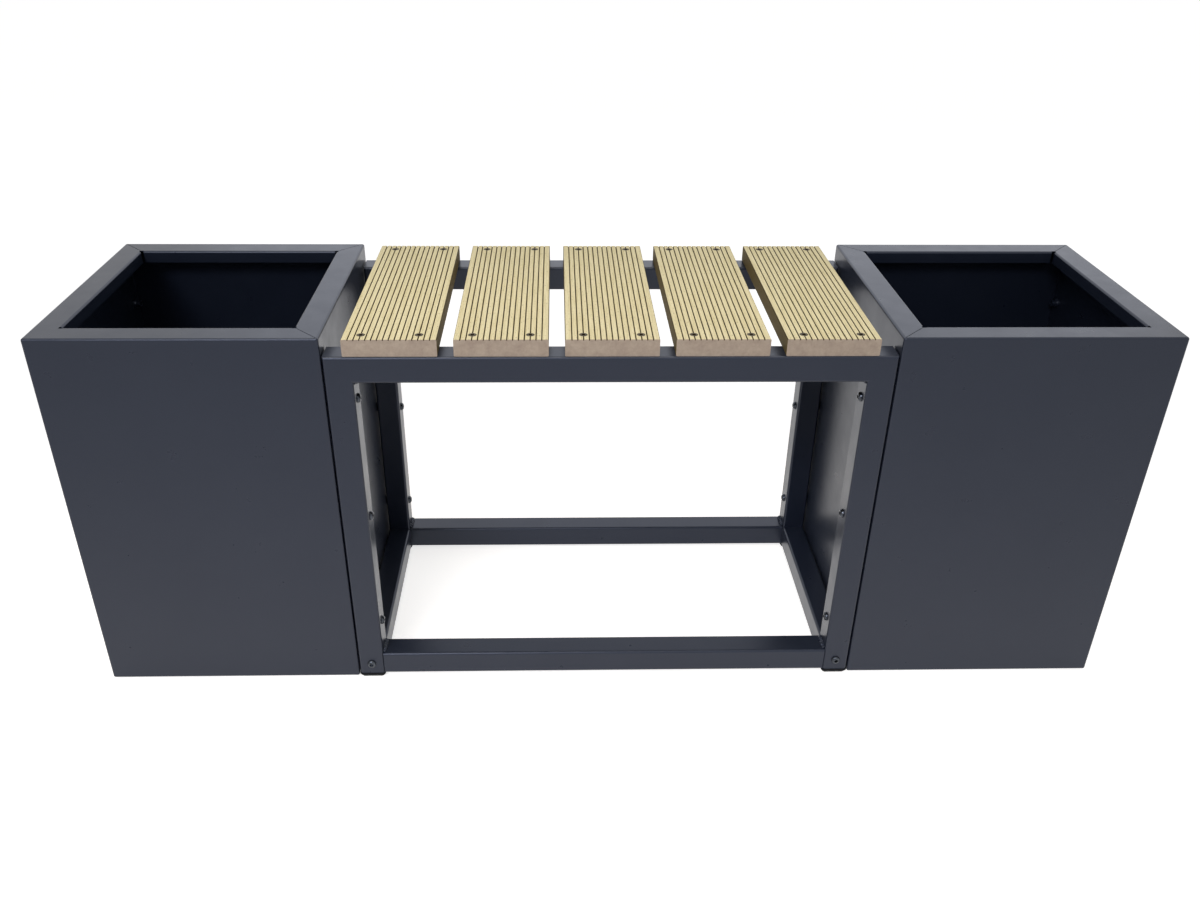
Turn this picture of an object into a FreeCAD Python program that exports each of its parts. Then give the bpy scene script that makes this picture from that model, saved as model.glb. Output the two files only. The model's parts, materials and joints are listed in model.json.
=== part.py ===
import FreeCAD, Part

import math
import os

# Public bench: five grooved boards on a square-tube frame between two folded steel planters.
# It stands on the plane z = 0 with the origin under its centre.
# X runs along the bench, Y from front to back, Z up. Sizes are in millimetres.

Vector = FreeCAD.Vector

# Seat
seat_height = 450.0
frame_length = 600.0
frame_depth = 300.0

# Square tube of the frame
tube_size = 30.0
tube_wall = 2.0
tube_corner_radius = 3.0
weld_leg = 3.5
weld_crown = 0.5

# Feet pushed into the uprights
foot_height = 6.0
foot_band = 1.5
foot_bevel = 2.5
foot_side_clearance = 0.45
foot_plug_height = 8.0
foot_plug_wall = 2.5
foot_fin_depth = 1.5
foot_fin_thickness = 1.2
foot_fin_count = 2
plug_clearance = 0.2

# Seat boards
board_count = 5
board_width = 98.0
board_gap = 17.0
board_thickness = 19.0
board_end_setback = 2.0
board_edge_radius = 1.2
groove_margin = 7.0
groove_pitch = 6.0
groove_width = 1.4
groove_floor_width = 0.8
groove_depth = 1.2

# Planters of folded sheet
planter_width = 300.0
planter_clearance = 2.0
rim_above_seat = 2.0
sheet = 1.5
bend_inside_radius = 1.0
rim_width = 30.0
lip_drop = 14.5
lip_end_gap = 2.0
mitre_gap = 0.7
floor_flange_width = 20.0
floor_plate_thickness = 1.5
floor_plate_clearance = 1.0
drain_hole_diameter = 12.0
drain_hole_inset = 75.0

# Bolts with button heads
bolt_diameter = 6.0
thread_core_diameter = 4.8
bolt_hole_clearance = 0.3
thread_clearance = 0.1
head_diameter = 10.5
head_height = 3.3
head_flat_diameter = 5.6
head_edge_height = 0.5
hex_size = 4.0
hex_depth = 2.1
shank_relief = 0.5
bolt_tip_length = 0.5
bolt_row_margin = 75.0
bolt_row_count = 3

# Threaded inserts pulled into the planter walls
insert_flange_diameter = 13.0
insert_flange_thickness = 1.2
insert_body_diameter = 9.0
insert_length = 11.0
insert_bulge_diameter = 11.6
insert_bulge_length = 3.0
insert_hole_clearance = 0.1

# Threaded end blocks inside the side rails
end_block_length = 12.0
corner_bolt_reach = 10.0

# Countersunk board screws
screw_diameter = 4.8
screw_head_diameter = 8.4
screw_head_rim = 0.25
screw_recess = 0.1
screw_length = 32.0
screw_tip_length = 5.0
screw_hole_clearance = 0.3
screw_seat_clearance = 0.1
screw_groove = 3
recess_size = 4.0
recess_depth = 1.6

# Places worked out from the sizes above
bend_radius = bend_inside_radius + sheet
planter_height = seat_height + rim_above_seat - planter_clearance
planter_depth = frame_depth
planter_inner_x = frame_length / 2 + insert_flange_thickness
planter_centre_x = planter_inner_x + planter_width / 2
frame_top = seat_height - board_thickness
tube_axis_x = frame_length / 2 - tube_size / 2
tube_axis_y = frame_depth / 2 - tube_size / 2
low_rail_axis_z = foot_height + tube_size / 2
top_rail_axis_z = frame_top - tube_size / 2
rail_span = frame_length - 2 * tube_size
side_rail_span = frame_depth - 2 * tube_size
tube_bore = tube_size - 2 * tube_wall
board_length = frame_depth - 2 * board_end_setback
board_pitch = board_width + board_gap
groove_count = int((board_width - 2 * groove_margin) / groove_pitch) + 1
screw_offset = ((groove_count - 1) / 2 - (screw_groove - 1)) * groove_pitch
bolt_row_pitch = (planter_height - 2 * bolt_row_margin) / (bolt_row_count - 1)


def bolt_heights():
    """Heights of the bolt rows that join the planters to the uprights."""
    first = planter_clearance + bolt_row_margin
    return [first + row * bolt_row_pitch for row in range(bolt_row_count)]


def board_centres():
    """X positions of the boards, spread evenly about the middle."""
    return [(index - (board_count - 1) / 2) * board_pitch for index in range(board_count)]


def screw_points():
    """X and Y of every board screw: two at each end of each board, over the rails."""
    points = []
    for centre in board_centres():
        for across in (-screw_offset, screw_offset):
            for along in (-tube_axis_y, tube_axis_y):
                points.append((centre + across, along))
    return points


def square_outline(side, radius):
    """Closed square wire about the origin in the XY plane, with rounded corners."""
    half = side / 2
    flat = half - radius
    reach = radius * math.sqrt(0.5)
    edges = []
    for turn in range(4):
        angle = turn * 90.0
        lower = Vector(half, -flat, 0)
        upper = Vector(half, flat, 0)
        middle = Vector(flat + reach, flat + reach, 0)
        end = Vector(flat, half, 0)
        pair = [Part.LineSegment(lower, upper).toShape(), Part.Arc(upper, middle, end).toShape()]
        for edge in pair:
            edge.rotate(Vector(0, 0, 0), Vector(0, 0, 1), angle)
            edges.append(edge)
    return Part.Wire(Part.__sortEdges__(edges))


def square_bar(side, radius, length):
    """Solid square bar with rounded edges, from z = 0 up."""
    return Part.Face(square_outline(side, radius)).extrude(Vector(0, 0, length))


def square_tube(length):
    """Frame tube from z = 0 up."""
    outer = square_bar(tube_size, tube_corner_radius, length)
    bore = square_bar(tube_bore, tube_corner_radius - tube_wall, length)
    return outer.cut(bore)


def laid_along_x(shape):
    """Turn a shape that rises along Z so that it runs along X."""
    shape.rotate(Vector(0, 0, 0), Vector(0, 1, 0), 90)
    return shape


def laid_along_y(shape):
    """Turn a shape that rises along Z so that it runs along Y."""
    shape.rotate(Vector(0, 0, 0), Vector(1, 0, 0), -90)
    return shape


def moved(shape, x, y, z):
    """Shift a shape to its place."""
    shape.translate(Vector(x, y, z))
    return shape


def cylinder(diameter, length, start, direction):
    """Round cutter or pin from a start point along a direction."""
    return Part.makeCylinder(diameter / 2, length, start, direction)


def turned(points, axis_start, axis_direction):
    """Solid of revolution about Z from radius and height pairs, then laid along an axis."""
    corners = [Vector(radius, 0, height) for radius, height in points]
    face = Part.Face(Part.makePolygon(corners + [corners[0]]))
    solid = face.revolve(Vector(0, 0, 0), Vector(0, 0, 1), 360)
    return placed_on_axis(solid, axis_start, axis_direction)


def placed_on_axis(shape, axis_start, axis_direction):
    """Lay a shape made about +Z so that +Z becomes the given direction."""
    turn = FreeCAD.Rotation(Vector(0, 0, 1), axis_direction)
    shape.Placement = FreeCAD.Placement(axis_start, turn).multiply(shape.Placement)
    return shape


def mitre_wedge(side, keep_upright):
    """Wedge that leaves one half of the mitre between an upright and its top rail."""
    outer = side * frame_length / 2
    inner = side * (frame_length / 2 - tube_size)
    top = frame_top
    low = frame_top - tube_size
    if keep_upright:
        corners = [(outer, top), (inner, top), (inner, low)]
    else:
        corners = [(outer, top), (outer, low), (inner, low)]
    points = [Vector(x, -tube_size, z) for x, z in corners]
    face = Part.Face(Part.makePolygon(points + [points[0]]))
    return face.extrude(Vector(0, 2 * tube_size, 0))


def upright(side, depth_side):
    """Upright with a mitred top, planter bolt holes and the hole of the corner bolt."""
    axis_x = side * tube_axis_x
    axis_y = depth_side * tube_axis_y
    post = moved(square_tube(frame_top - foot_height), axis_x, 0, foot_height)
    post = post.cut(mitre_wedge(side, True))
    hole = bolt_diameter + 2 * bolt_hole_clearance
    for height in bolt_heights():
        start = Vector(axis_x - tube_size, 0, height)
        post = post.cut(cylinder(hole, 2 * tube_size, start, Vector(1, 0, 0)))
    start = Vector(axis_x, -tube_size, low_rail_axis_z)
    post = post.cut(cylinder(hole, 2 * tube_size, start, Vector(0, 1, 0)))
    return moved(post, 0, axis_y, 0)


def low_rail(depth_side):
    """Long rail between the feet of two uprights."""
    rail = laid_along_x(square_tube(rail_span))
    return moved(rail, -rail_span / 2, depth_side * tube_axis_y, low_rail_axis_z)


def top_rail(depth_side):
    """Long rail over two uprights, mitred at both ends and drilled for the board screws."""
    rail = laid_along_x(square_tube(frame_length))
    rail = moved(rail, -frame_length / 2, 0, top_rail_axis_z)
    for side in (-1, 1):
        rail = rail.cut(mitre_wedge(side, False))
    rail = moved(rail, 0, depth_side * tube_axis_y, 0)
    hole = screw_diameter + 2 * screw_seat_clearance
    for x, y in screw_points():
        if y * depth_side > 0:
            start = Vector(x, y, frame_top - tube_size / 2)
            rail = rail.cut(cylinder(hole, tube_size, start, Vector(0, 0, 1)))
    return rail


def side_rail(side):
    """Short rail at floor level that joins the front frame to the rear frame."""
    rail = laid_along_y(square_tube(side_rail_span))
    return moved(rail, side * tube_axis_x, -side_rail_span / 2, low_rail_axis_z)


def end_block(side, depth_side):
    """Threaded block inside the end of a side rail, which takes the corner bolt."""
    size = tube_bore - 2 * plug_clearance
    block = square_bar(size, tube_corner_radius - tube_wall, end_block_length)
    bore = thread_core_diameter + 2 * thread_clearance
    block = block.cut(cylinder(bore, end_block_length, Vector(0, 0, 0), Vector(0, 0, 1)))
    start = Vector(side * tube_axis_x, depth_side * side_rail_span / 2, low_rail_axis_z)
    return placed_on_axis(block, start, Vector(0, -depth_side, 0))


def weld_bead(side, depth_side, at_top):
    """Fillet weld in the inner corner between an upright and a long rail."""
    crown = weld_leg / 2 + weld_crown
    corner = Vector(0, 0, 0)
    along_rail = Vector(weld_leg, 0, 0)
    up_post = Vector(0, 0, weld_leg)
    face_edges = [
        Part.LineSegment(corner, along_rail).toShape(),
        Part.Arc(along_rail, Vector(crown, 0, crown), up_post).toShape(),
        Part.LineSegment(up_post, corner).toShape(),
    ]
    run = tube_size - 2 * tube_corner_radius
    bead = Part.Face(Part.Wire(face_edges)).extrude(Vector(0, run, 0))
    bead = moved(bead, -rail_span / 2, -run / 2, 0)
    height = foot_height + tube_size
    if at_top:
        bead = bead.mirror(Vector(0, 0, 0), Vector(0, 0, 1))
        height = frame_top - tube_size
    if side > 0:
        bead = bead.mirror(Vector(0, 0, 0), Vector(1, 0, 0))
    return moved(bead, 0, depth_side * tube_axis_y, height)


def foot(side, depth_side):
    """Plastic foot: a bevelled sole under the upright and a finned plug inside it."""
    sole_side = tube_size + 2 * (insert_flange_thickness - foot_side_clearance)
    bevel_height = foot_height - foot_band
    ground = square_outline(sole_side - 2 * foot_bevel, tube_corner_radius)
    shoulder = square_outline(sole_side, tube_corner_radius)
    shoulder.translate(Vector(0, 0, bevel_height))
    sole = Part.makeLoft([ground, shoulder], True, True)
    band = moved(square_bar(sole_side, tube_corner_radius, foot_band), 0, 0, bevel_height)
    fin_side = tube_bore - 2 * plug_clearance
    core_side = fin_side - 2 * foot_fin_depth
    hollow_side = core_side - 2 * foot_plug_wall
    plug = square_bar(core_side, tube_corner_radius, foot_plug_height)
    fin_pitch = foot_plug_height / foot_fin_count
    for index in range(foot_fin_count):
        fin = square_bar(fin_side, tube_corner_radius - tube_wall, foot_fin_thickness)
        plug = plug.fuse(moved(fin, 0, 0, (index + 1) * fin_pitch - foot_fin_thickness))
    plug = plug.cut(square_bar(hollow_side, tube_corner_radius, foot_plug_height))
    plug = moved(plug, 0, 0, foot_height)
    joined = sole.fuse([band, plug]).removeSplitter()
    return moved(joined, side * tube_axis_x, depth_side * tube_axis_y, 0)


def board_profile():
    """End outline of a board in XZ: rounded long edges and tapered grooves on top."""
    half = board_width / 2
    radius = board_edge_radius
    top = board_thickness
    reach = radius * (1 - math.sqrt(0.5))
    edges = []

    def line(start, end):
        edges.append(Part.LineSegment(Vector(start[0], 0, start[1]), Vector(end[0], 0, end[1])).toShape())

    def arc(start, middle, end):
        points = [Vector(x, 0, z) for x, z in (start, middle, end)]
        edges.append(Part.Arc(*points).toShape())

    arc((-half, top - radius), (-half + reach, top - reach), (-half + radius, top))
    last = (-half + radius, top)
    for index in range(groove_count):
        centre = (index - (groove_count - 1) / 2) * groove_pitch
        mouth_left = (centre - groove_width / 2, top)
        floor_left = (centre - groove_floor_width / 2, top - groove_depth)
        floor_right = (centre + groove_floor_width / 2, top - groove_depth)
        mouth_right = (centre + groove_width / 2, top)
        line(last, mouth_left)
        line(mouth_left, floor_left)
        line(floor_left, floor_right)
        line(floor_right, mouth_right)
        last = mouth_right
    line(last, (half - radius, top))
    arc((half - radius, top), (half - reach, top - reach), (half, top - radius))
    line((half, top - radius), (half, radius))
    arc((half, radius), (half - reach, reach), (half - radius, 0))
    line((half - radius, 0), (-half + radius, 0))
    arc((-half + radius, 0), (-half + reach, reach), (-half, radius))
    line((-half, radius), (-half, top - radius))
    return Part.Face(Part.Wire(edges))


def seat_board(centre_x):
    """One grooved board laid across the two top rails, with four countersunk holes."""
    board = board_profile().extrude(Vector(0, board_length, 0))
    board = moved(board, 0, -board_length / 2, 0)
    shank_hole = screw_diameter + 2 * screw_hole_clearance
    seat_top = screw_head_diameter + 2 * (screw_recess + screw_head_rim + screw_seat_clearance)
    seat_depth = (seat_top - shank_hole) / 2
    outline = [
        (0, 0),
        (shank_hole / 2, 0),
        (shank_hole / 2, board_thickness - seat_depth),
        (seat_top / 2, board_thickness),
        (seat_top / 2, board_thickness + seat_depth),
        (0, board_thickness + seat_depth),
    ]
    for across in (-screw_offset, screw_offset):
        for along in (-tube_axis_y, tube_axis_y):
            board = board.cut(turned(outline, Vector(across, along, 0), Vector(0, 0, 1)))
    return moved(board, centre_x, 0, frame_top)


def hex_cutter(size, depth):
    """Hexagonal socket cutter that goes down from z = 0."""
    corner = size / math.sqrt(3)
    points = [Vector(corner * math.cos(math.radians(60 * index)),
                     corner * math.sin(math.radians(60 * index)), -depth) for index in range(7)]
    return Part.Face(Part.makePolygon(points)).extrude(Vector(0, 0, 2 * depth))


def board_screw(x, y):
    """Countersunk drilling screw, head just under the top of the board."""
    head_radius = screw_head_diameter / 2
    shank_radius = screw_diameter / 2
    cone_end = -screw_head_rim - (head_radius - shank_radius)
    outline = [
        (0, 0),
        (head_radius - screw_head_rim, 0),
        (head_radius, -screw_head_rim),
        (shank_radius, cone_end),
        (shank_radius, screw_tip_length - screw_length),
        (0, -screw_length),
    ]
    screw = turned(outline, Vector(0, 0, 0), Vector(0, 0, 1))
    screw = screw.cut(hex_cutter(recess_size, recess_depth))
    return moved(screw, x, y, seat_height - screw_recess)


def button_bolt(grip, reach, start, direction):
    """Button-head bolt: the head bears at the start point and the shank runs along direction."""
    head = head_diameter / 2
    shank = bolt_diameter / 2
    core = thread_core_diameter / 2
    flat = head_flat_diameter / 2
    middle = Vector((head + flat) / 2 + head_edge_height, 0, -(head_height + head_edge_height) * 0.6)
    edge = Vector(head, 0, -head_edge_height)
    crown = Vector(flat, 0, -head_height)
    outline = [
        Vector(0, 0, -head_height),
        Vector(0, 0, grip + reach),
        Vector(core, 0, grip + reach),
        Vector(core, 0, grip - shank_relief),
        Vector(shank, 0, grip - shank_relief),
        Vector(shank, 0, 0),
        Vector(head, 0, 0),
        edge,
    ]
    edges = [Part.LineSegment(a, b).toShape() for a, b in zip(outline, outline[1:])]
    edges.append(Part.Arc(edge, middle, crown).toShape())
    edges.append(Part.LineSegment(crown, outline[0]).toShape())
    bolt = Part.Face(Part.Wire(edges)).revolve(Vector(0, 0, 0), Vector(0, 0, 1), 360)
    socket = moved(hex_cutter(hex_size, hex_depth), 0, 0, -head_height)
    return placed_on_axis(bolt.cut(socket), start, direction)


def threaded_insert(start, direction):
    """Threaded insert: flange outside the wall, bulge pulled up against its inside."""
    bore = thread_core_diameter / 2 + thread_clearance
    body = insert_body_diameter / 2
    bulge = insert_bulge_diameter / 2
    wall_inside = insert_flange_thickness + sheet
    outline = [
        (bore, 0),
        (insert_flange_diameter / 2, 0),
        (insert_flange_diameter / 2, insert_flange_thickness),
        (body, insert_flange_thickness),
        (body, wall_inside),
        (bulge, wall_inside),
        (bulge, wall_inside + insert_bulge_length / 2),
        (body, wall_inside + insert_bulge_length),
        (body, insert_length),
        (bore, insert_length),
    ]
    return turned(outline, start, direction)


def planter_bolts():
    """Bolts from the seat side through every upright into the planter wall."""
    bolts = []
    reach = insert_length + bolt_tip_length
    for side in (-1, 1):
        for depth_side in (-1, 1):
            for height in bolt_heights():
                start = Vector(side * rail_span / 2, depth_side * tube_axis_y, height)
                bolts.append(button_bolt(tube_size, reach, start, Vector(side, 0, 0)))
    return Part.makeCompound(bolts)


def corner_bolts():
    """Bolts through the foot of each upright into the end of the side rail."""
    bolts = []
    for side in (-1, 1):
        for depth_side in (-1, 1):
            start = Vector(side * tube_axis_x, depth_side * frame_depth / 2, low_rail_axis_z)
            bolts.append(button_bolt(tube_size, corner_bolt_reach, start, Vector(0, -depth_side, 0)))
    return Part.makeCompound(bolts)


def inserts(wall_x, inward):
    """Row pattern of threaded inserts in one side wall of a planter."""
    start_x = wall_x - inward * insert_flange_thickness
    group = []
    for depth_side in (-1, 1):
        for height in bolt_heights():
            start = Vector(start_x, depth_side * tube_axis_y, height)
            group.append(threaded_insert(start, Vector(inward, 0, 0)))
    return Part.makeCompound(group)


def rounded_box(width, depth, height, radius):
    """Box about the Z axis, from z = 0 up, with every edge rounded."""
    box = Part.makeBox(width, depth, height, Vector(-width / 2, -depth / 2, 0))
    return box.makeFillet(radius, box.Edges)


def centred_prism(width, depth, low, high):
    """Plain box about the Z axis between two heights."""
    return Part.makeBox(width, depth, high - low, Vector(-width / 2, -depth / 2, low))


def lip(wall_offset, length):
    """Rim curl and return lip of one wall, which stands on the +X side and runs along Y."""
    top = planter_height
    start = wall_offset - rim_width + bend_radius
    face_x = wall_offset - rim_width
    bend_z = top - bend_radius
    outer_reach = bend_radius * math.sqrt(0.5)
    inner_reach = bend_inside_radius * math.sqrt(0.5)
    rim_top = Vector(start, 0, top)
    outer_middle = Vector(start - outer_reach, 0, bend_z + outer_reach)
    outer_low = Vector(face_x, 0, bend_z)
    tip_outer = Vector(face_x, 0, top - lip_drop)
    tip_inner = Vector(face_x + sheet, 0, top - lip_drop)
    inner_low = Vector(face_x + sheet, 0, bend_z)
    inner_middle = Vector(start - inner_reach, 0, bend_z + inner_reach)
    rim_under = Vector(start, 0, top - sheet)
    edges = [
        Part.Arc(rim_top, outer_middle, outer_low).toShape(),
        Part.LineSegment(outer_low, tip_outer).toShape(),
        Part.LineSegment(tip_outer, tip_inner).toShape(),
        Part.LineSegment(tip_inner, inner_low).toShape(),
        Part.Arc(inner_low, inner_middle, rim_under).toShape(),
        Part.LineSegment(rim_under, rim_top).toShape(),
    ]
    strip = Part.Face(Part.Wire(edges)).extrude(Vector(0, length, 0))
    return moved(strip, 0, -length / 2, 0)


def mitre_slit(x_side, y_side):
    """Thin cut along the mitre of the rim, which stops short of the closed outer corner."""
    start_x = planter_width / 2 - rim_width
    start_y = planter_depth / 2 - rim_width
    run = (rim_width - bend_radius) * math.sqrt(2)
    slit = Part.makeBox(run, mitre_gap, 2 * sheet, Vector(0, -mitre_gap / 2, -sheet * 1.1))
    slit.rotate(Vector(0, 0, 0), Vector(0, 0, 1), math.degrees(math.atan2(y_side, x_side)))
    return moved(slit, x_side * start_x, y_side * start_y, planter_height)


def planter_shell(side):
    """Four walls folded from sheet, with an inward rim, return lips and a floor flange."""
    width = planter_width
    depth = planter_depth
    outer = rounded_box(width, depth, planter_height, bend_radius)
    hollow = rounded_box(width - 2 * sheet, depth - 2 * sheet,
                         planter_height - 2 * sheet, bend_inside_radius)
    shell = outer.cut(moved(hollow, 0, 0, sheet))
    mouth_inset = 2 * (rim_width - bend_radius)
    shell = shell.cut(centred_prism(width - mouth_inset, depth - mouth_inset,
                                    planter_height / 2, planter_height + sheet))
    floor_inset = 2 * floor_flange_width
    shell = shell.cut(centred_prism(width - floor_inset, depth - floor_inset, -sheet, 2 * sheet))
    lips = []
    for turn, offset, run in ((0, width, depth), (90, depth, width)):
        for flip in (0, 180):
            strip = lip(offset / 2, run - 2 * rim_width - 2 * lip_end_gap)
            strip.rotate(Vector(0, 0, 0), Vector(0, 0, 1), turn + flip)
            lips.append(strip)
    shell = shell.fuse(lips)
    for x_side, y_side in ((-1, 1), (1, -1), (1, 1)):
        shell = shell.cut(mitre_slit(x_side, y_side))
    hole = insert_body_diameter + 2 * insert_hole_clearance
    for depth_side in (-1, 1):
        for height in bolt_heights():
            start = Vector(-width, depth_side * tube_axis_y, height - planter_clearance)
            shell = shell.cut(cylinder(hole, 2 * width, start, Vector(1, 0, 0)))
    return planter_placed(shell, side)


def floor_plate(side):
    """Loose floor of a planter, resting on the flange, with drain holes."""
    width = planter_width - 2 * (sheet + floor_plate_clearance)
    depth = planter_depth - 2 * (sheet + floor_plate_clearance)
    plate = centred_prism(width, depth, sheet, sheet + floor_plate_thickness)
    hole_x = planter_width / 2 - drain_hole_inset
    hole_y = planter_depth / 2 - drain_hole_inset
    places = [(0, 0)] + [(x * hole_x, y * hole_y) for x in (-1, 1) for y in (-1, 1)]
    for x, y in places:
        plate = plate.cut(cylinder(drain_hole_diameter, 4 * sheet, Vector(x, y, 0), Vector(0, 0, 1)))
    return planter_placed(plate, side)


def planter_placed(shape, side):
    """Put a planter piece, drawn for the left end, at the left or right end."""
    shape = moved(shape, -planter_centre_x, 0, planter_clearance)
    if side > 0:
        shape = shape.mirror(Vector(0, 0, 0), Vector(1, 0, 0))
    return shape


def build_nodes():
    """Every piece of the bench under its name."""
    nodes = {}
    for side, end in ((-1, "left"), (1, "right")):
        for depth_side, face in ((-1, "front"), (1, "rear")):
            nodes[f"{face}_{end}_upright"] = upright(side, depth_side)
            nodes[f"{face}_{end}_foot"] = foot(side, depth_side)
        nodes[f"{end}_side_rail"] = side_rail(side)
        nodes[f"{end}_planter_shell"] = planter_shell(side)
        nodes[f"{end}_planter_floor"] = floor_plate(side)
        outer_x = side * (planter_inner_x + planter_width)
        nodes[f"{end}_end_wall_inserts"] = inserts(outer_x, -side)
        nodes[f"{end}_frame_wall_inserts"] = inserts(side * planter_inner_x, side)
    for depth_side, face in ((-1, "front"), (1, "rear")):
        nodes[f"{face}_top_rail"] = top_rail(depth_side)
        nodes[f"{face}_low_rail"] = low_rail(depth_side)
    pairs = [(side, depth_side) for side in (-1, 1) for depth_side in (-1, 1)]
    nodes["side_rail_end_blocks"] = Part.makeCompound([end_block(*pair) for pair in pairs])
    beads = [weld_bead(*pair, at_top) for pair in pairs for at_top in (False, True)]
    nodes["weld_beads"] = Part.makeCompound(beads)
    for index, centre in enumerate(board_centres()):
        nodes[f"seat_board_{index + 1}"] = seat_board(centre)
    nodes["board_screws"] = Part.makeCompound([board_screw(x, y) for x, y in screw_points()])
    nodes["planter_bolts"] = planter_bolts()
    nodes["corner_bolts"] = corner_bolts()
    return nodes


os.makedirs("parts", exist_ok=True)
for name, shape in build_nodes().items():
    if not shape.isValid():
        raise ValueError(name + " is not a valid solid")
    shape.exportStep(os.path.join("parts", name + ".step"))
    print(name, len(shape.Solids), round(shape.Volume / 1000, 2), "cm3")
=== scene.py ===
import json
import math

import bmesh
import bpy
from mathutils import Matrix, Vector, noise


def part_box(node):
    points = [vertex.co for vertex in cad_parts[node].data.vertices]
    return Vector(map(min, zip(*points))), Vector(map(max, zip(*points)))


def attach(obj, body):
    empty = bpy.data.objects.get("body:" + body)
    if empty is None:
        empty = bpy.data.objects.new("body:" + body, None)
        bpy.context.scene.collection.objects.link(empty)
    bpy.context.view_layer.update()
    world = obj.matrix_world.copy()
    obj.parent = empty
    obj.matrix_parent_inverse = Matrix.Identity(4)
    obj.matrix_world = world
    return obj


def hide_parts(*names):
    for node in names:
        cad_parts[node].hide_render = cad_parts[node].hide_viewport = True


# Public bench between two planters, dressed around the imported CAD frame. Sizes are in metres.

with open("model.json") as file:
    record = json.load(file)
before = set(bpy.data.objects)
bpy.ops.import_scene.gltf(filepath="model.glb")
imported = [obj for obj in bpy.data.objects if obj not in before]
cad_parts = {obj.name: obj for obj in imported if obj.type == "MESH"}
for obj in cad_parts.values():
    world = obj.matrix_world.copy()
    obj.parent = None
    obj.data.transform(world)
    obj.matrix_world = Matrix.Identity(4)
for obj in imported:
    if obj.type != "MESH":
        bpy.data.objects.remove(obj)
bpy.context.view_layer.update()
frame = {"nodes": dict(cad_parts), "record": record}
nodes = frame["nodes"]

MM = 0.001


# Places read from the frame

low_rail_start, low_rail_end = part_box("front_low_rail")
top_rail_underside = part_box("front_top_rail")[0].z
seat_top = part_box("seat_board_1")[1].z


# Node helpers

def linear(code):
    """Turn an sRGB hex colour into the linear RGBA that Blender's sockets take."""
    channels = [int(code[place:place + 2], 16) / 255 for place in (1, 3, 5)]
    return [c / 12.92 if c <= 0.04045 else ((c + 0.055) / 1.055) ** 2.4 for c in channels] + [1.0]


def add(tree, kind, inputs=None, **settings):
    """Add one node: inputs takes values or the sockets that feed it, settings its options."""
    node = tree.nodes.new(kind)
    for name, value in settings.items():
        setattr(node, name, value)
    for key, value in (inputs or {}).items():
        if isinstance(value, bpy.types.NodeSocket):
            tree.links.new(value, node.inputs[key])
        else:
            node.inputs[key].default_value = value
    return node


def new_material(name):
    """Empty material with its Object coordinates, its shader and its output joined up."""
    material = bpy.data.materials.new(name)
    material.use_nodes = True
    tree = material.node_tree
    tree.nodes.clear()
    place = add(tree, "ShaderNodeTexCoord").outputs["Object"]
    shader = add(tree, "ShaderNodeBsdfPrincipled")
    add(tree, "ShaderNodeOutputMaterial", {"Surface": shader.outputs["BSDF"]})
    return material, tree, place, shader


# Places of the two colours and of the result among the sockets of a colour Mix node
MIX_A, MIX_B, MIX_OUT = 6, 7, 2


# Finishes. A noise's scale is 1 / the size of its lumps.

def powder_coat():
    """Polyester powder coat on steel, sprayed and baked: navy slate, semi-gloss, orange peel."""
    material, tree, place, shader = new_material("anthracite_powder_coat")
    drift = add(tree, "ShaderNodeTexNoise",
                {"Vector": place, "Scale": 1 / (90 * MM), "Detail": 3.0, "Roughness": 0.55})
    # A slow drift between two near shades keeps the large sheets from looking printed.
    shade = add(tree, "ShaderNodeMix", {0: drift.outputs["Fac"], MIX_A: linear("#191E2A"),
                                        MIX_B: linear("#212631")}, data_type="RGBA")
    # Fine speckle of the sprayed grains, 1.2 mm so that it shows at this distance.
    grain = add(tree, "ShaderNodeTexNoise",
                {"Vector": place, "Scale": 1 / (1.2 * MM), "Detail": 1.0})
    speckle = add(tree, "ShaderNodeMapRange", {"Value": grain.outputs["Fac"], "From Min": 0.3,
                                               "From Max": 0.7, "To Min": 0.9, "To Max": 1.1})
    coloured = add(tree, "ShaderNodeMix", {0: 1.0, MIX_A: shade.outputs[MIX_OUT],
                                           MIX_B: speckle.outputs["Result"]},
                   data_type="RGBA", blend_type="MULTIPLY")
    # Hazy patches, about 30 mm wide, where the film baked a little duller.
    haze = add(tree, "ShaderNodeTexNoise",
               {"Vector": place, "Scale": 1 / (30 * MM), "Detail": 4.0, "Roughness": 0.6})
    gloss = add(tree, "ShaderNodeMapRange", {"Value": haze.outputs["Fac"], "From Min": 0.3,
                                             "From Max": 0.7, "To Min": 0.27, "To Max": 0.34})
    # Orange peel: shallow ripples, 2.6 mm apart, left by the powder as it flowed out.
    peel = add(tree, "ShaderNodeTexNoise",
               {"Vector": place, "Scale": 1 / (2.6 * MM), "Detail": 1.5, "Roughness": 0.5})
    bump = add(tree, "ShaderNodeBump", {"Height": peel.outputs["Fac"], "Strength": 0.12,
                                        "Distance": 0.04 * MM})
    tree.links.new(coloured.outputs[MIX_OUT], shader.inputs["Base Color"])
    tree.links.new(gloss.outputs["Result"], shader.inputs["Roughness"])
    tree.links.new(bump.outputs["Normal"], shader.inputs["Normal"])
    shader.inputs["IOR"].default_value = 1.46
    # The sheen is tinted cool as a painted reflection of cool room light, so the faces turn navy
    # where they mirror something pale.
    shader.inputs["Specular Tint"].default_value = linear("#E4EBFF")
    return material


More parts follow.
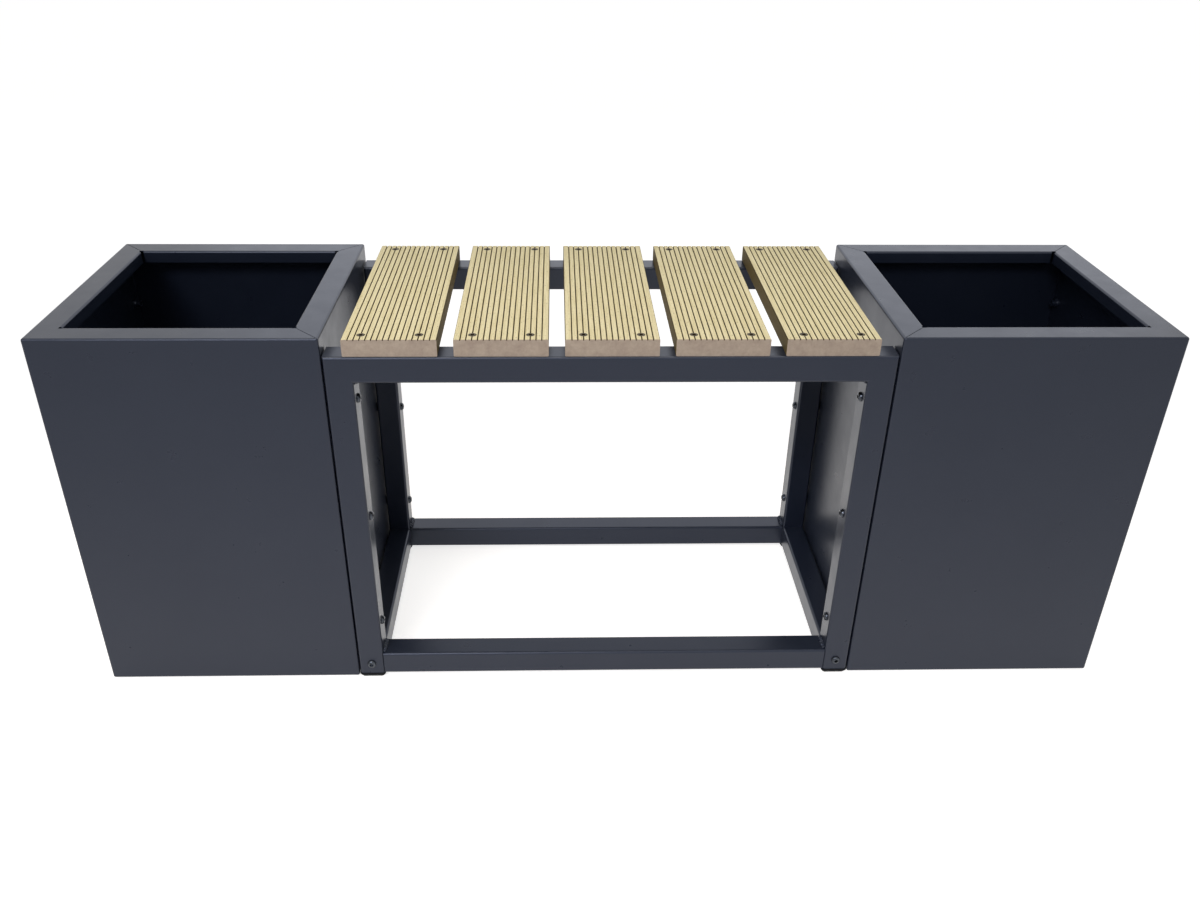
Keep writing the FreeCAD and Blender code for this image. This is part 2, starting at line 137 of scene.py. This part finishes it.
def composite_board():
    """Extruded wood-plastic board: brushed straw ridges, brown skin with painted shade in the
    grooves, sawn ends.
    """
    material, tree, place, shader = new_material("brushed_wood_composite")
    axes = add(tree, "ShaderNodeSeparateXYZ", {"Vector": place})
    facing = add(tree, "ShaderNodeSeparateXYZ",
                 {"Vector": add(tree, "ShaderNodeNewGeometry").outputs["Normal"]})
    # The brush runs along the board: streaks 0.8 mm wide and some 40 mm long.
    stretched = add(tree, "ShaderNodeMapping", {"Vector": place, "Scale": (1, 0.02, 1)})
    streaks = add(tree, "ShaderNodeTexNoise", {"Vector": stretched.outputs["Vector"],
                                               "Scale": 1 / (0.8 * MM), "Detail": 3.0})
    streak_level = add(tree, "ShaderNodeMapRange", {"Value": streaks.outputs["Fac"],
                                                    "From Min": 0.3, "From Max": 0.7})
    brushed = add(tree, "ShaderNodeMix", {0: streak_level.outputs["Result"],
                                          MIX_A: linear("#D1C393"), MIX_B: linear("#E8DCB2")},
                  data_type="RGBA")
    # Wood fibres, 1.1 mm wide and 5 mm long, scattered through the plastic. The real ones are
    # half as wide, which is too fine to show.
    fibre_place = add(tree, "ShaderNodeMapping", {"Vector": place, "Scale": (1, 0.22, 1)})
    fibres = add(tree, "ShaderNodeTexNoise", {"Vector": fibre_place.outputs["Vector"],
                                              "Scale": 1 / (1.1 * MM), "Detail": 2.0})
    fibre_mask = add(tree, "ShaderNodeMapRange", {"Value": fibres.outputs["Fac"],
                                                  "From Min": 0.6, "From Max": 0.72,
                                                  "To Max": 0.6})
    ridge = add(tree, "ShaderNodeMix", {0: fibre_mask.outputs["Result"],
                                        MIX_A: brushed.outputs[MIX_OUT],
                                        MIX_B: linear("#8A7D54")}, data_type="RGBA")
    # Below the brushed ridges the extrusion skin is left: dark brown in the grooves, which are 1.2
    # mm deep, made darker there as painted shade for the narrow grooves, and paler further down, on
    # the sides and the underside.
    depth = add(tree, "ShaderNodeMapRange", {"Value": axes.outputs["Z"],
                                             "From Min": seat_top - 0.1 * MM,
                                             "From Max": seat_top - 0.3 * MM})
    past_grooves = add(tree, "ShaderNodeMapRange", {"Value": axes.outputs["Z"],
                                                    "From Min": seat_top - 1.25 * MM,
                                                    "From Max": seat_top - 1.45 * MM})
    skin_noise = add(tree, "ShaderNodeTexNoise", {"Vector": place, "Scale": 1 / (3 * MM),
                                                  "Detail": 3.0})
    # Groove colour: the brown skin darkened with painted shade.
    groove_skin_and_shade = add(tree, "ShaderNodeMix", {0: skin_noise.outputs["Fac"],
                                              MIX_A: linear("#2F240A"),
                                              MIX_B: linear("#4A3B14")}, data_type="RGBA")
    side_skin = add(tree, "ShaderNodeMix", {0: skin_noise.outputs["Fac"],
                                            MIX_A: linear("#6A5B36"),
                                            MIX_B: linear("#7F6E45")}, data_type="RGBA")
    skin = add(tree, "ShaderNodeMix", {0: past_grooves.outputs["Result"],
                                       MIX_A: groove_skin_and_shade.outputs[MIX_OUT],
                                       MIX_B: side_skin.outputs[MIX_OUT]}, data_type="RGBA")
    top_and_skin = add(tree, "ShaderNodeMix", {0: depth.outputs["Result"],
                                               MIX_A: ridge.outputs[MIX_OUT],
                                               MIX_B: skin.outputs[MIX_OUT]}, data_type="RGBA")
    # Sawn ends show the crumbly mix of wood flour and plastic: taupe with 9 mm blotches.
    blotch = add(tree, "ShaderNodeTexNoise", {"Vector": place, "Scale": 1 / (9 * MM),
                                              "Detail": 6.0, "Roughness": 0.7})
    blotch_level = add(tree, "ShaderNodeMapRange", {"Value": blotch.outputs["Fac"],
                                                    "From Min": 0.3, "From Max": 0.7})
    sawn = add(tree, "ShaderNodeMix", {0: blotch_level.outputs["Result"],
                                       MIX_A: linear("#AE9A88"), MIX_B: linear("#C6B49E")},
               data_type="RGBA")
    along = add(tree, "ShaderNodeMath", {0: facing.outputs["Y"]}, operation="ABSOLUTE")
    is_end = add(tree, "ShaderNodeMapRange", {"Value": along.outputs["Value"],
                                              "From Min": 0.6, "From Max": 0.8})
    whole = add(tree, "ShaderNodeMix", {0: is_end.outputs["Result"],
                                        MIX_A: top_and_skin.outputs[MIX_OUT],
                                        MIX_B: sawn.outputs[MIX_OUT]}, data_type="RGBA")
    relief = add(tree, "ShaderNodeMath", {0: streaks.outputs["Fac"], 1: blotch.outputs["Fac"]},
                 operation="ADD")
    bump = add(tree, "ShaderNodeBump", {"Height": relief.outputs["Value"], "Strength": 0.6,
                                        "Distance": 0.1 * MM})
    tree.links.new(whole.outputs[MIX_OUT], shader.inputs["Base Color"])
    tree.links.new(bump.outputs["Normal"], shader.inputs["Normal"])
    shader.inputs["Roughness"].default_value = 0.72
    shader.inputs["IOR"].default_value = 1.46
    # Brushed fibres scatter most of the gloss, so that the grooves keep their brown.
    shader.inputs["Specular IOR Level"].default_value = 0.2
    return material


def moulded_plastic():
    """Black polyethylene foot, injection moulded: dull, with a fine spark-eroded grain."""
    material, tree, place, shader = new_material("black_moulded_polyethylene")
    # The grain's pits are 0.6 mm wide, which is coarser than real ones.
    grain = add(tree, "ShaderNodeTexNoise", {"Vector": place, "Scale": 1 / (0.6 * MM),
                                             "Detail": 2.0})
    tone = add(tree, "ShaderNodeMix", {0: grain.outputs["Fac"], MIX_A: linear("#0B0C0E"),
                                       MIX_B: linear("#17191C")}, data_type="RGBA")
    bump = add(tree, "ShaderNodeBump", {"Height": grain.outputs["Fac"], "Strength": 0.5,
                                        "Distance": 0.05 * MM})
    tree.links.new(tone.outputs[MIX_OUT], shader.inputs["Base Color"])
    tree.links.new(bump.outputs["Normal"], shader.inputs["Normal"])
    shader.inputs["Roughness"].default_value = 0.75
    shader.inputs["IOR"].default_value = 1.51
    # Much of the gloss is cut, partly for its pitted skin and partly as painted shade: the sole
    # would mirror the shaded floor beneath it.
    shader.inputs["Specular IOR Level"].default_value = 0.15
    return material


def plated_steel(name, dull, bright, rough):
    """Plated steel fastener: grey metal with darker stains where the plating is thin."""
    material, tree, place, shader = new_material(name)
    # Stains, 2.5 mm wide, are also duller than the bright plating.
    stain = add(tree, "ShaderNodeTexNoise", {"Vector": place, "Scale": 1 / (2.5 * MM),
                                             "Detail": 4.0, "Roughness": 0.65})
    level = add(tree, "ShaderNodeMapRange", {"Value": stain.outputs["Fac"], "From Min": 0.35,
                                             "From Max": 0.65})
    tone = add(tree, "ShaderNodeMix", {0: level.outputs["Result"], MIX_A: linear(dull),
                                       MIX_B: linear(bright)}, data_type="RGBA")
    gloss = add(tree, "ShaderNodeMapRange", {"Value": stain.outputs["Fac"], "From Min": 0.3,
                                             "From Max": 0.7, "To Min": rough + 0.1,
                                             "To Max": rough - 0.05})
    bump = add(tree, "ShaderNodeBump", {"Height": stain.outputs["Fac"], "Strength": 0.4,
                                        "Distance": 0.03 * MM})
    tree.links.new(tone.outputs[MIX_OUT], shader.inputs["Base Color"])
    tree.links.new(gloss.outputs["Result"], shader.inputs["Roughness"])
    tree.links.new(bump.outputs["Normal"], shader.inputs["Normal"])
    shader.inputs["Metallic"].default_value = 1.0
    return material


finishes = {
    "powder_coat": powder_coat(),
    "composite_board": composite_board(),
    "foot_plastic": moulded_plastic(),
    "bolt_steel": plated_steel("black_zinc_bolt", "#2C2F34", "#54585F", 0.24),
    "screw_steel": plated_steel("phosphated_screw", "#2E281B", "#5E5238", 0.42),
    "bare_steel": plated_steel("milled_steel", "#77787A", "#9A9B9C", 0.4),
}


def dress_frame():
    """Give every CAD node the finish of its slot in the record."""
    for part in frame["record"]["subparts"]:
        piece = nodes[part["node"]]
        if not piece.material_slots:
            piece.data.materials.append(None)
        for slot in piece.material_slots:
            slot.material = finishes[part["material_slot"]]


# Weld beads

WELD_LEG = 4.2 * MM
WELD_RUN = 23 * MM
DROP_PITCH = 4.6 * MM
LUMP_SIZE = 3.1 * MM
# Shares of the leg: the dips between the drops, the lumps of the skin, the thinning at the ends.
DROP_DIP = 0.28
LUMP_HEIGHT = 0.2
END_THINNING = 0.35
# How far the ripple shifts across one leg, in radians of its wave.
DROP_LEAN = 0.9


def cut_flush(shape, corner, outward):
    """Cut a shape off at the face of a tube and close the cut."""
    everything = shape.verts[:] + shape.edges[:] + shape.faces[:]
    bmesh.ops.bisect_plane(shape, geom=everything, plane_co=corner, plane_no=outward,
                           clear_inner=True)
    open_edges = [edge for edge in shape.edges if edge.is_boundary]
    bmesh.ops.holes_fill(shape, edges=open_edges)


def weld_bead(name, corner, along_rail, up_post):
    """Rippled fillet weld in the corner between a rail and an upright, running along Y."""
    shape = bmesh.new()
    lying = Matrix.Translation(corner) @ Matrix.Rotation(math.radians(90), 4, "X")
    bmesh.ops.create_cone(shape, cap_ends=True, segments=48, radius1=WELD_LEG,
                          radius2=WELD_LEG, depth=WELD_RUN, matrix=lying)
    sides = [edge for edge in shape.edges if edge.calc_length() > WELD_RUN * 0.9]
    bmesh.ops.subdivide_edges(shape, edges=sides, cuts=60)
    for vertex in shape.verts:
        along = vertex.co.y - corner.y
        out = vertex.co - corner - Vector((0, along, 0))
        # Each drop of the bead laps aslant over the last one, and both ends of the run thin out.
        wave = abs(math.sin(math.pi * along / DROP_PITCH + DROP_LEAN * out.x / WELD_LEG))
        lump = noise.noise(vertex.co / LUMP_SIZE)
        thinning = 1 - END_THINNING * abs(2 * along / WELD_RUN) ** 6
        swell = (1 - DROP_DIP * (1 - wave) + LUMP_HEIGHT * lump) * thinning
        vertex.co = corner + Vector((0, along, 0)) + out * swell
    cut_flush(shape, corner, along_rail)
    cut_flush(shape, corner, up_post)
    bmesh.ops.recalc_face_normals(shape, faces=shape.faces[:])
    mesh = bpy.data.meshes.new(name)
    shape.to_mesh(mesh)
    shape.free()
    mesh.shade_smooth()
    mesh.materials.append(finishes["powder_coat"])
    bead = bpy.data.objects.new(name, mesh)
    bpy.context.collection.objects.link(bead)
    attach(bead, "root")
    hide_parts("weld_beads")


def weld_corners():
    """Eight beads: both ends of the long rails, front and rear, at floor and under the seat."""
    heights = (("low", low_rail_end.z, 1), ("top", top_rail_underside, -1))
    rail_y = (low_rail_start.y + low_rail_end.y) / 2
    for depth_side, y in (("front", rail_y), ("rear", -rail_y)):
        for end, x, inward in (("left", low_rail_start.x, 1), ("right", low_rail_end.x, -1)):
            for level, z, rise in heights:
                weld_bead(f"{depth_side}_{end}_{level}_weld", Vector((x, y, z)),
                          Vector((inward, 0, 0)), Vector((0, 0, rise)))


# Camera, at the photograph's viewing angle: fitted to corners and edges that show in it

IMAGE_WIDTH = 1200
FOCAL_LENGTH = 1038.9
SENSOR = 36.0
LENS_SHIFT = (0.0148, -0.0058)
CAMERA_PLACE = (-0.0577, -1.1295, 0.8806)
CAMERA_ANGLES = (60.631, -0.495, -1.311)


def place_camera():
    """Camera in front of the bench and above it, as in the photograph."""
    data = bpy.data.cameras.new("view_from_the_front")
    data.sensor_width = SENSOR
    # The focal length, like the width, is in pixels of the photograph.
    data.lens = FOCAL_LENGTH * SENSOR / IMAGE_WIDTH
    data.shift_x, data.shift_y = LENS_SHIFT
    camera = bpy.data.objects.new("view_from_the_front", data)
    camera.location = CAMERA_PLACE
    camera.rotation_euler = [math.radians(angle) for angle in CAMERA_ANGLES]
    bpy.context.collection.objects.link(camera)
    bpy.context.scene.camera = camera


# Studio

FLOOR_HALF_WIDTH = 15
WORLD_FILL = 0.38


def softbox(name, place, aim, size, watts, colour, spread=180):
    """Rectangular softbox that points at a spot. Its spread is in degrees."""
    data = bpy.data.lights.new(name, "AREA")
    data.shape = "RECTANGLE"
    data.size, data.size_y = size
    data.energy = watts
    data.color = linear(colour)[:3]
    data.spread = math.radians(spread)
    lamp = bpy.data.objects.new(name, data)
    lamp.location = place
    lamp.rotation_euler = (Vector(aim) - Vector(place)).to_track_quat("-Z", "Y").to_euler()
    bpy.context.collection.objects.link(lamp)


def white_where_seen(tree):
    """1 for camera, glossy and transmission rays, which see the white studio."""
    rays = add(tree, "ShaderNodeLightPath").outputs
    either = add(tree, "ShaderNodeMath", {0: rays["Is Camera Ray"], 1: rays["Is Glossy Ray"]},
                 operation="MAXIMUM")
    seen = add(tree, "ShaderNodeMath", {0: either.outputs["Value"],
                                        1: rays["Is Transmission Ray"]}, operation="MAXIMUM")
    return seen.outputs["Value"]


def studio_floor():
    """Matt pale paper, 30 m square, with a glow that only seen and mirrored rays meet."""
    material = bpy.data.materials.new("pale_studio_paper")
    material.use_nodes = True
    # The glow is left out of the light that falls on the bench.
    material.cycles.emission_sampling = "NONE"
    tree = material.node_tree
    tree.nodes.clear()
    light = add(tree, "ShaderNodeEmission", {"Color": linear("#DDDDDD"),
                                             "Strength": white_where_seen(tree)})
    matt = add(tree, "ShaderNodeBsdfDiffuse", {"Color": linear("#F1EADE")})
    both = add(tree, "ShaderNodeAddShader", {0: matt.outputs["BSDF"], 1: light.outputs["Emission"]})
    add(tree, "ShaderNodeOutputMaterial", {"Surface": both.outputs["Shader"]})

    shape = bmesh.new()
    bmesh.ops.create_grid(shape, x_segments=1, y_segments=1, size=FLOOR_HALF_WIDTH)
    mesh = bpy.data.meshes.new("studio_floor")
    shape.to_mesh(mesh)
    shape.free()
    mesh.materials.append(material)
    floor = bpy.data.objects.new("studio_floor", mesh)
    bpy.context.collection.objects.link(floor)


def build_studio():
    """Pale floor, white surroundings and soft lamps."""
    scene = bpy.context.scene
    scene.view_settings.view_transform = "Standard"
    world = bpy.data.worlds.new("white_studio")
    scene.world = world
    world.use_nodes = True
    tree = world.node_tree
    tree.nodes.clear()
    # The lamps do the lighting; sampled by rays alone, reflections see the white in full.
    world.cycles.sampling_method = "NONE"
    fill = add(tree, "ShaderNodeBackground", {"Color": linear("#EEF3FF"),
                                              "Strength": WORLD_FILL})
    white = add(tree, "ShaderNodeBackground", {"Color": (1, 1, 1, 1), "Strength": 1.0})
    mixed = add(tree, "ShaderNodeMixShader", {0: white_where_seen(tree),
                                              1: fill.outputs["Background"],
                                              2: white.outputs["Background"]})
    add(tree, "ShaderNodeOutputWorld", {"Surface": mixed.outputs["Shader"]})

    studio_floor()

    softbox("gridded_softbox", place=(-0.1, -0.1, 1.9), aim=(-0.1, -0.1, 0), size=(1.4, 0.4),
            watts=1.4, colour="#FFF6E6", spread=46)
    softbox("front_softbox", place=(-0.9, -2.3, 2.2), aim=(0, -0.15, -0.1), size=(1.6, 0.8),
            watts=4.0, colour="#F2F4FF", spread=42)
    softbox("rear_softbox", place=(0.4, 2.6, 1.35), aim=(0.1, 0, 0.4), size=(3.6, 1.2),
            watts=7.0, colour="#DEE7FF")


dress_frame()
weld_corners()
place_camera()
build_studio()
